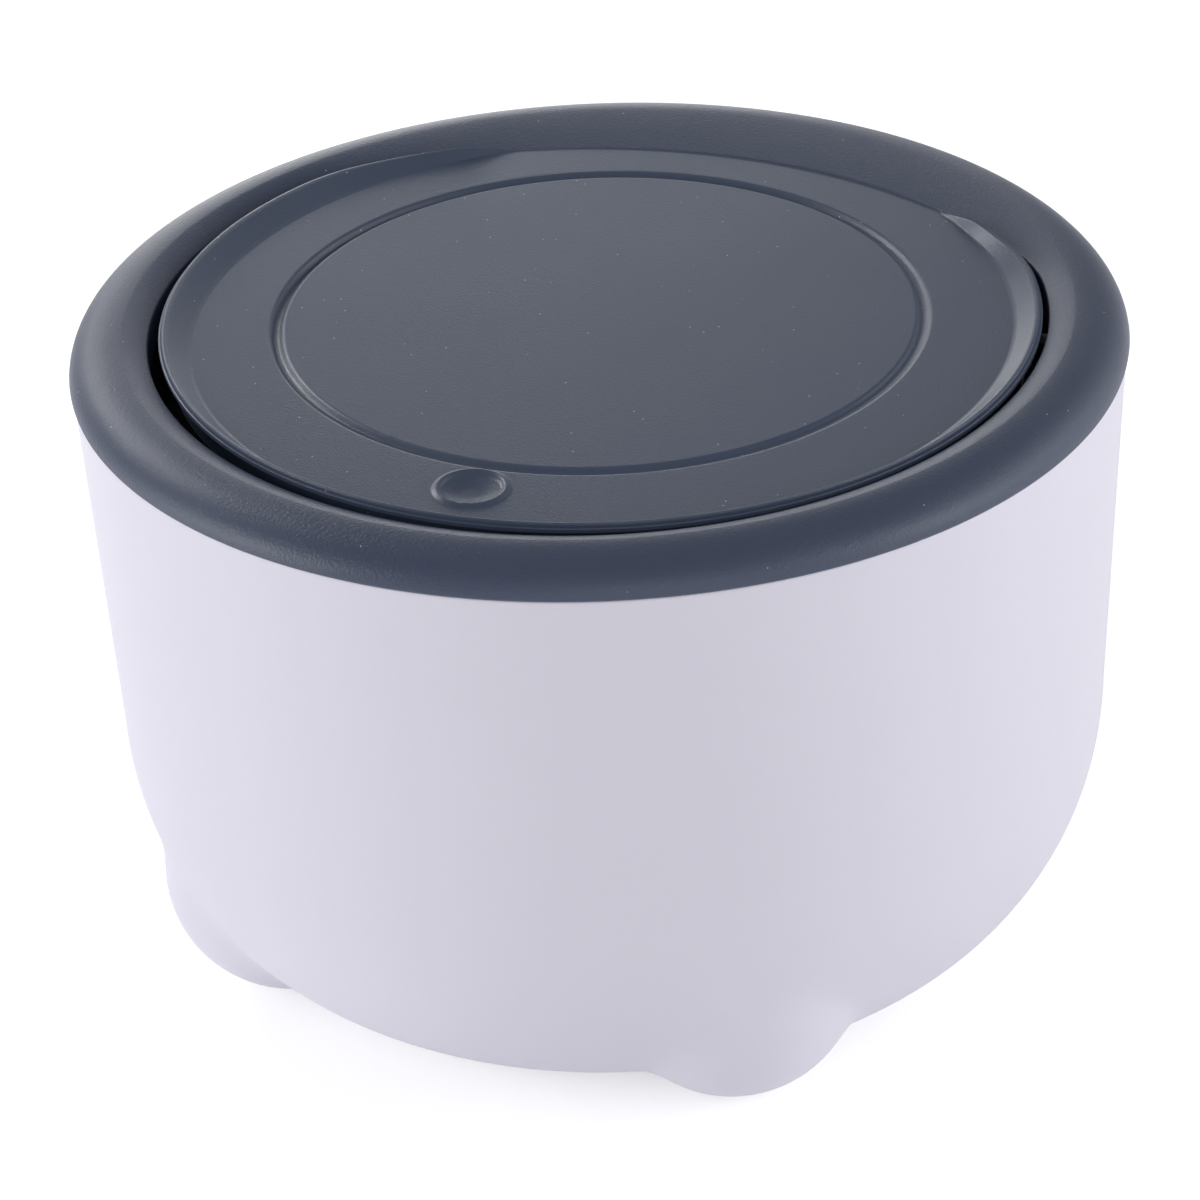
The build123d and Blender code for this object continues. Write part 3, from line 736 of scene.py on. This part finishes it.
def lint_specks():
    """Group: sparse pale specks of lint and dust, as a mask."""
    tree = bpy.data.node_groups.new("lint_specks", "ShaderNodeTree")
    face = tree.interface
    face.new_socket("Vector", in_out="INPUT", socket_type="NodeSocketVector")
    face.new_socket("Scale", in_out="INPUT", socket_type="NodeSocketFloat")
    face.new_socket("Share", in_out="INPUT", socket_type="NodeSocketFloat")
    face.new_socket("Size", in_out="INPUT", socket_type="NodeSocketFloat")
    face.new_socket("Mask", in_out="OUTPUT", socket_type="NodeSocketFloat")
    start = add_node(tree, "NodeGroupInput")
    end = add_node(tree, "NodeGroupOutput")
    cells = add_node(tree, "ShaderNodeTexVoronoi")
    dot = add_node(tree, "ShaderNodeMath", operation="LESS_THAN")
    split = add_node(tree, "ShaderNodeSeparateColor")
    chosen = add_node(tree, "ShaderNodeMath", operation="LESS_THAN")
    both = add_node(tree, "ShaderNodeMath", operation="MULTIPLY")
    link_nodes(tree, [
        (start.outputs["Vector"], cells.inputs["Vector"]),
        (start.outputs["Scale"], cells.inputs["Scale"]),
        (cells.outputs["Distance"], dot.inputs[0]),
        (start.outputs["Size"], dot.inputs[1]),
        (cells.outputs["Color"], split.inputs["Color"]),
        (split.outputs["Red"], chosen.inputs[0]),
        (start.outputs["Share"], chosen.inputs[1]),
        (dot.outputs[0], both.inputs[0]),
        (chosen.outputs[0], both.inputs[1]),
        (both.outputs[0], end.inputs["Mask"]),
    ])
    return tree


GRAIN = moulded_grain()
LINT = lint_specks()


def start_material(name):
    """Node material with a Principled shader and Object coordinates."""
    material = bpy.data.materials.new(name)
    material.use_nodes = True
    tree = material.node_tree
    shader = tree.nodes["Principled BSDF"]
    place = add_node(tree, "ShaderNodeTexCoord")
    return material, tree, shader, place.outputs["Object"]


def use_group(tree, group, where, **values):
    """Places a group in a material with its own values."""
    node = add_node(tree, "ShaderNodeGroup", node_tree=group)
    tree.links.new(where, node.inputs["Vector"])
    for name, value in values.items():
        node.inputs[name].default_value = value
    return node


def vary(tree, factor, low, high):
    """Maps a 0 to 1 factor to a range of values."""
    node = add_node(tree, "ShaderNodeMapRange")
    node.inputs["From Min"].default_value = 0.3
    node.inputs["From Max"].default_value = 0.7
    node.inputs["To Min"].default_value = low
    node.inputs["To Max"].default_value = high
    tree.links.new(factor, node.inputs["Value"])
    return node.outputs["Result"]


def mix_colours(tree, factor, first, second):
    """Mixes two colours, or a socket and a colour, by a factor socket."""
    node = add_node(tree, "ShaderNodeMix", data_type="RGBA")
    tree.links.new(factor, node.inputs["Factor"])
    for socket, value in ((node.inputs[6], first), (node.inputs[7], second)):
        if isinstance(value, tuple):
            socket.default_value = (*value, 1.0)
        else:
            tree.links.new(value, socket)
    return node.outputs[2]


def add_bump(tree, shader, height, strength, depth):
    """Bump from a height, with its depth in millimetres."""
    bump = add_node(tree, "ShaderNodeBump")
    bump.inputs["Strength"].default_value = strength
    bump.inputs["Distance"].default_value = mm(depth)
    tree.links.new(height, bump.inputs["Height"])
    tree.links.new(bump.outputs["Normal"], shader.inputs["Normal"])


def plastic(name, dark, light, roughness, grain_scale, grain_depth, lint=0.0):
    """Moulded plastic with grain, slight colour drift and, if asked, lint."""
    material, tree, shader, where = start_material(name)
    grain = use_group(tree, GRAIN, where, Scale=grain_scale)
    colour = mix_colours(tree, grain.outputs["Gloss"], dark, light)
    if lint:
        specks = use_group(tree, LINT, where, Scale=lint_scale, Share=lint, Size=lint_size)
        colour = mix_colours(tree, specks.outputs["Mask"], colour, lint_colour)
    tree.links.new(colour, shader.inputs["Base Color"])
    rough = vary(tree, grain.outputs["Gloss"], *roughness)
    tree.links.new(rough, shader.inputs["Roughness"])
    add_bump(tree, shader, grain.outputs["Height"], grain_strength, grain_depth)
    return material


def metal(name, dark, light, roughness, stretch):
    """Drawn or turned steel with fine lines and slight tarnish."""
    material, tree, shader, where = start_material(name)
    lines = add_node(tree, "ShaderNodeMapping")
    lines.inputs["Scale"].default_value = stretch
    tree.links.new(where, lines.inputs["Vector"])
    grain = use_group(tree, GRAIN, lines.outputs["Vector"], Scale=line_scale)
    colour = mix_colours(tree, grain.outputs["Gloss"], dark, light)
    tree.links.new(colour, shader.inputs["Base Color"])
    rough = vary(tree, grain.outputs["Height"], *roughness)
    tree.links.new(rough, shader.inputs["Roughness"])
    shader.inputs["Metallic"].default_value = 1.0
    add_bump(tree, shader, grain.outputs["Height"], line_strength, line_depth)
    return material


def give(piece, material):
    """Puts one material on a piece."""
    piece.data.materials.clear()
    piece.data.materials.append(material)


# ------------------------------------------------------------------ studio

camera_turn = 20.3                                 # degrees, to the right of the front
camera_down = 30.2363                              # degrees that it looks down
camera_roll = -2.6703
camera_right = 0.2491                              # metres
camera_front = 0.6789
camera_above = 362.2                               # millimetres above the flap's floor
lamp_distance = 1.15                               # metres from the point that the lamps face
lamp_aim = 0.1                                     # height of that point in metres
world_fall = 3.0                                   # more keeps the light closer to the horizon
floor_glow = 0.45                                  # keeps the floor white where the lamps fade


def camera():
    """Camera that looks down on the bin from the front, a little to the right."""
    lens = bpy.data.cameras.new("camera")
    lens.lens = 135.0
    lens.sensor_width = 36.0
    lens.clip_end = 20.0
    eye = bpy.data.objects.new("camera", lens)
    bpy.context.scene.collection.objects.link(eye)
    turn = Matrix.Rotation(math.radians(camera_turn), 4, "Z")
    tilt = Matrix.Rotation(math.radians(90 - camera_down), 4, "X")
    roll = Matrix.Rotation(math.radians(camera_roll), 4, "Z")
    place = Vector((camera_right, -camera_front, mm(floor_height + camera_above)))
    eye.matrix_world = Matrix.Translation(place) @ turn @ tilt @ roll
    bpy.context.scene.camera = eye


def soft_lamp(name, turn, height, size, watts):
    """Soft square lamp that faces the bin. Its turn is in degrees from +X, its height in degrees."""
    data = bpy.data.lights.new(name, "AREA")
    data.shape = "SQUARE"
    data.size = size
    data.energy = watts
    aim = Vector((0.0, 0.0, lamp_aim))
    place = Matrix.Rotation(math.radians(turn), 3, "Z") @ Matrix.Rotation(math.radians(-height), 3, "Y")
    place = place @ Vector((lamp_distance, 0.0, 0.0)) + aim
    lamp = bpy.data.objects.new(name, data)
    lamp.location = place
    lamp.rotation_euler = (aim - place).to_track_quat("-Z", "Y").to_euler()
    bpy.context.scene.collection.objects.link(lamp)


def white_rays(tree):
    """1 for camera, mirror and see-through rays, and 0 for the rest."""
    rays = add_node(tree, "ShaderNodeLightPath")
    first = add_node(tree, "ShaderNodeMath", operation="MAXIMUM")
    second = add_node(tree, "ShaderNodeMath", operation="MAXIMUM")
    link_nodes(tree, [
        (rays.outputs["Is Camera Ray"], first.inputs[0]),
        (rays.outputs["Is Glossy Ray"], first.inputs[1]),
        (first.outputs[0], second.inputs[0]),
        (rays.outputs["Is Transmission Ray"], second.inputs[1]),
    ])
    return second.outputs[0]


def studio_world(horizon, zenith):
    """Plain room without colour, lighter near the horizon than overhead."""
    world = bpy.data.worlds.new("studio")
    bpy.context.scene.world = world
    world.use_nodes = True
    tree = world.node_tree
    back = tree.nodes["Background"]
    back.inputs["Color"].default_value = (1.0, 1.0, 1.0, 1.0)
    where = add_node(tree, "ShaderNodeTexCoord")
    split = add_node(tree, "ShaderNodeSeparateXYZ")
    low = add_node(tree, "ShaderNodeMapRange")
    low.inputs["To Min"].default_value = 1.0
    low.inputs["To Max"].default_value = 0.0
    fall = add_node(tree, "ShaderNodeMath", operation="POWER")
    fall.inputs[1].default_value = world_fall
    level = add_node(tree, "ShaderNodeMapRange")
    level.inputs["To Min"].default_value = zenith
    level.inputs["To Max"].default_value = horizon
    link_nodes(tree, [
        (where.outputs["Generated"], split.inputs["Vector"]),
        (split.outputs["Z"], low.inputs["Value"]),
        (low.outputs["Result"], fall.inputs[0]),
        (fall.outputs[0], level.inputs["Value"]),
        (level.outputs["Result"], back.inputs["Strength"]),
    ])


def pale_floor():
    """Plain white floor that keeps the object's shadow."""
    bm = bmesh.new()
    bmesh.ops.create_grid(bm, x_segments=1, y_segments=1, size=4.0)
    floor = new_piece("floor", bm)
    material, tree, shader, _ = start_material("white_floor")
    shader.inputs["Base Color"].default_value = (0.92, 0.92, 0.92, 1.0)
    shader.inputs["Roughness"].default_value = 0.9
    shader.inputs["Emission Color"].default_value = (1.0, 1.0, 1.0, 1.0)
    glow = add_node(tree, "ShaderNodeMath", operation="MULTIPLY")
    glow.inputs[1].default_value = floor_glow
    tree.links.new(white_rays(tree), glow.inputs[0])
    tree.links.new(glow.outputs[0], shader.inputs["Emission Strength"])
    give(floor, material)


# ------------------------------------------------------------------ putting it together

slate = plastic(
    "slate_lid", (0.062, 0.083, 0.136), (0.072, 0.094, 0.151),
    roughness=(0.33, 0.41), grain_scale=2000.0, grain_depth=0.10, lint=0.32,
)
slate_ring = plastic(
    "slate_ring", (0.058, 0.075, 0.128), (0.068, 0.086, 0.143),
    roughness=(0.36, 0.44), grain_scale=1700.0, grain_depth=0.22, lint=0.16,
)
shell = plastic(
    "pale_shell", (0.815, 0.795, 0.905), (0.840, 0.820, 0.930),
    roughness=(0.48, 0.58), grain_scale=1800.0, grain_depth=0.03,
)
frame_dark = plastic(
    "dark_frame", (0.045, 0.052, 0.066), (0.055, 0.063, 0.078),
    roughness=(0.5, 0.62), grain_scale=2200.0, grain_depth=0.06,
)
latch_grey = plastic(
    "latch_plastic", (0.10, 0.105, 0.118), (0.13, 0.135, 0.15),
    roughness=(0.45, 0.58), grain_scale=2400.0, grain_depth=0.05,
)
latch_white = plastic(
    "latch_white", (0.66, 0.655, 0.64), (0.72, 0.715, 0.70),
    roughness=(0.28, 0.38), grain_scale=2000.0, grain_depth=0.02,
)
rubber = plastic(
    "buffer_rubber", (0.035, 0.035, 0.038), (0.05, 0.05, 0.054),
    roughness=(0.7, 0.85), grain_scale=3000.0, grain_depth=0.08,
)
screw_steel = metal(
    "screw_steel", (0.52, 0.52, 0.53), (0.66, 0.66, 0.67),
    roughness=(0.28, 0.42), stretch=(1.0, 1.0, 6.0),
)
pin_steel = metal(
    "pin_steel", (0.06, 0.06, 0.065), (0.11, 0.11, 0.115),
    roughness=(0.38, 0.52), stretch=(8.0, 1.0, 1.0),
)
spring_wire = metal(
    "spring_wire", (0.42, 0.42, 0.44), (0.58, 0.58, 0.60),
    roughness=(0.25, 0.40), stretch=(1.0, 1.0, 1.0),
)

ring = make_ring()
give(ring, slate_ring)
finish_surface(ring, crease)
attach(ring, "lid")
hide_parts("lid_ring")

flap = make_flap()
give(flap, slate)
finish_surface(flap, crease)
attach(flap, "flap")
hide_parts("flap_plate")

pail = make_bucket()
give(pail, shell)
finish_surface(pail, crease)
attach(pail, "bucket")
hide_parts("bucket")

finishes = {
    "lid_collar": frame_dark,
    "latch_housing": latch_grey,
    "latch_base_cap": latch_grey,
    "latch_plunger": latch_white,
    "striker": latch_white,
    "flap_buffers": rubber,
    "collar_screws": screw_steel,
    "latch_screws": screw_steel,
    "striker_screws": screw_steel,
    "hinge_pin_left": pin_steel,
    "hinge_pin_right": pin_steel,
    "torsion_spring_left": spring_wire,
    "torsion_spring_right": spring_wire,
    "latch_spring": spring_wire,
    "latch_cam_pin": spring_wire,
}
for name, material in finishes.items():
    for slot in nodes[name].material_slots:
        slot.material = material

camera()
studio_world(horizon=0.43, zenith=0.20)
pale_floor()
lamps = (                                          # name, two angles, size in metres, watts
    ("left_window", 150.0, 28.0, 0.3, 3.3),
    ("left_lamp", 212.0, 12.0, 0.6, 5.4),
    ("right_lamp", 0.0, 20.0, 0.6, 4.0),
    ("right_window", 40.0, 20.0, 0.6, 1.8),
    ("back_sheet_low", 120.0, 3.0, 0.6, 1.5),
    ("back_sheet", 113.0, 9.0, 0.6, 1.0),
    ("front_lamp", 300.0, 20.0, 0.6, 1.8),
)
for name, turn, height, size, watts in lamps:
    soft_lamp(name, turn, height, size, watts)
bpy.context.scene.view_settings.view_transform = "Standard"
